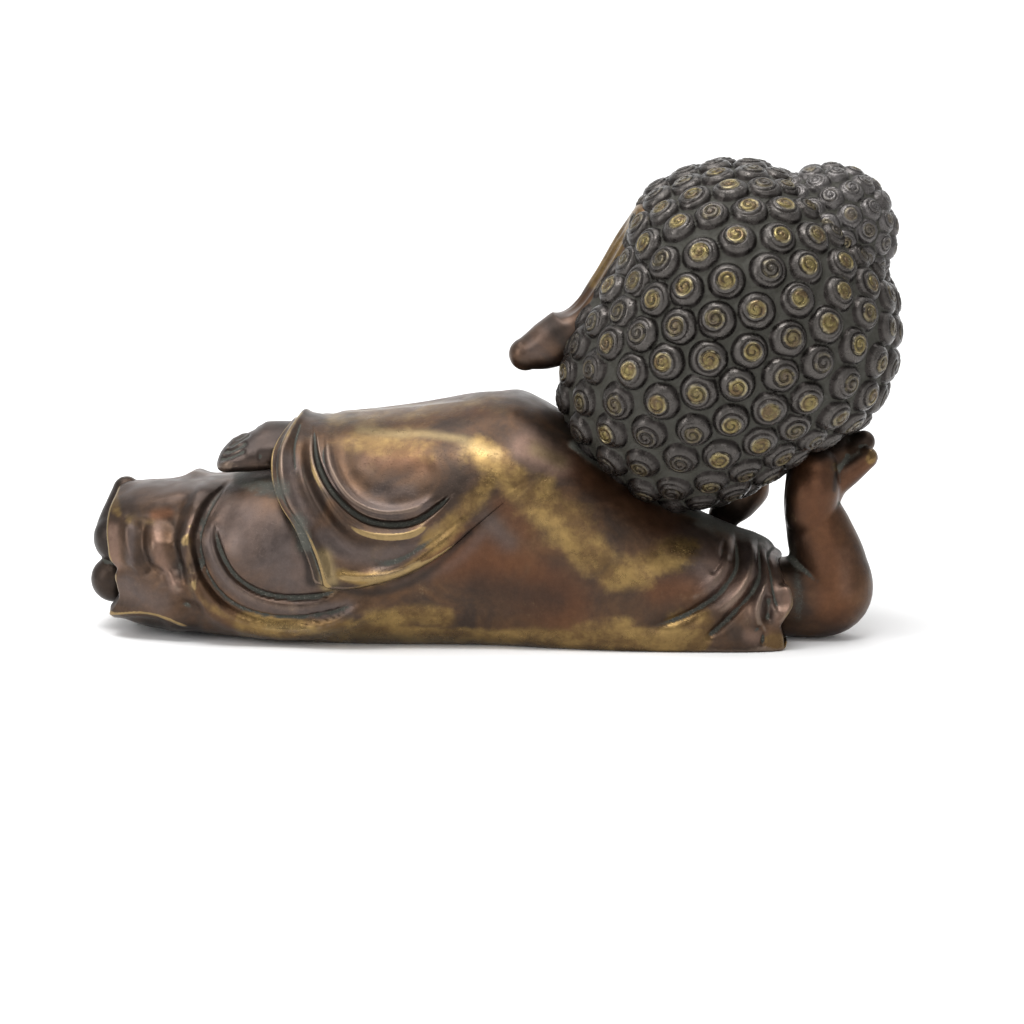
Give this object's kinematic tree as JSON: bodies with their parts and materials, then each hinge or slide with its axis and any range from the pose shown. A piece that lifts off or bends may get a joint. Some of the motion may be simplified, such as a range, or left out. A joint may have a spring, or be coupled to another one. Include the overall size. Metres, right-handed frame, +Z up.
{
  "type": "reclining buddha figurine",
  "caption": "Cast bronze baby Buddha lying on its right side in a draped robe, its curly-haired head propped on one hand.",
  "frame": {"origin": "on the flat underside, below the middle of the robed body", "axes": "+X toward the head, +Z up, and the figure's back toward -Y"},
  "size_m": [0.2476, 0.1057, 0.1451],
  "materials": {
    "bronze": "dark brown patinated bronze, worn golden on the high places"
  },
  "bodies": {
    "root": {"figure": "bronze"}
  },
  "joints": []
}
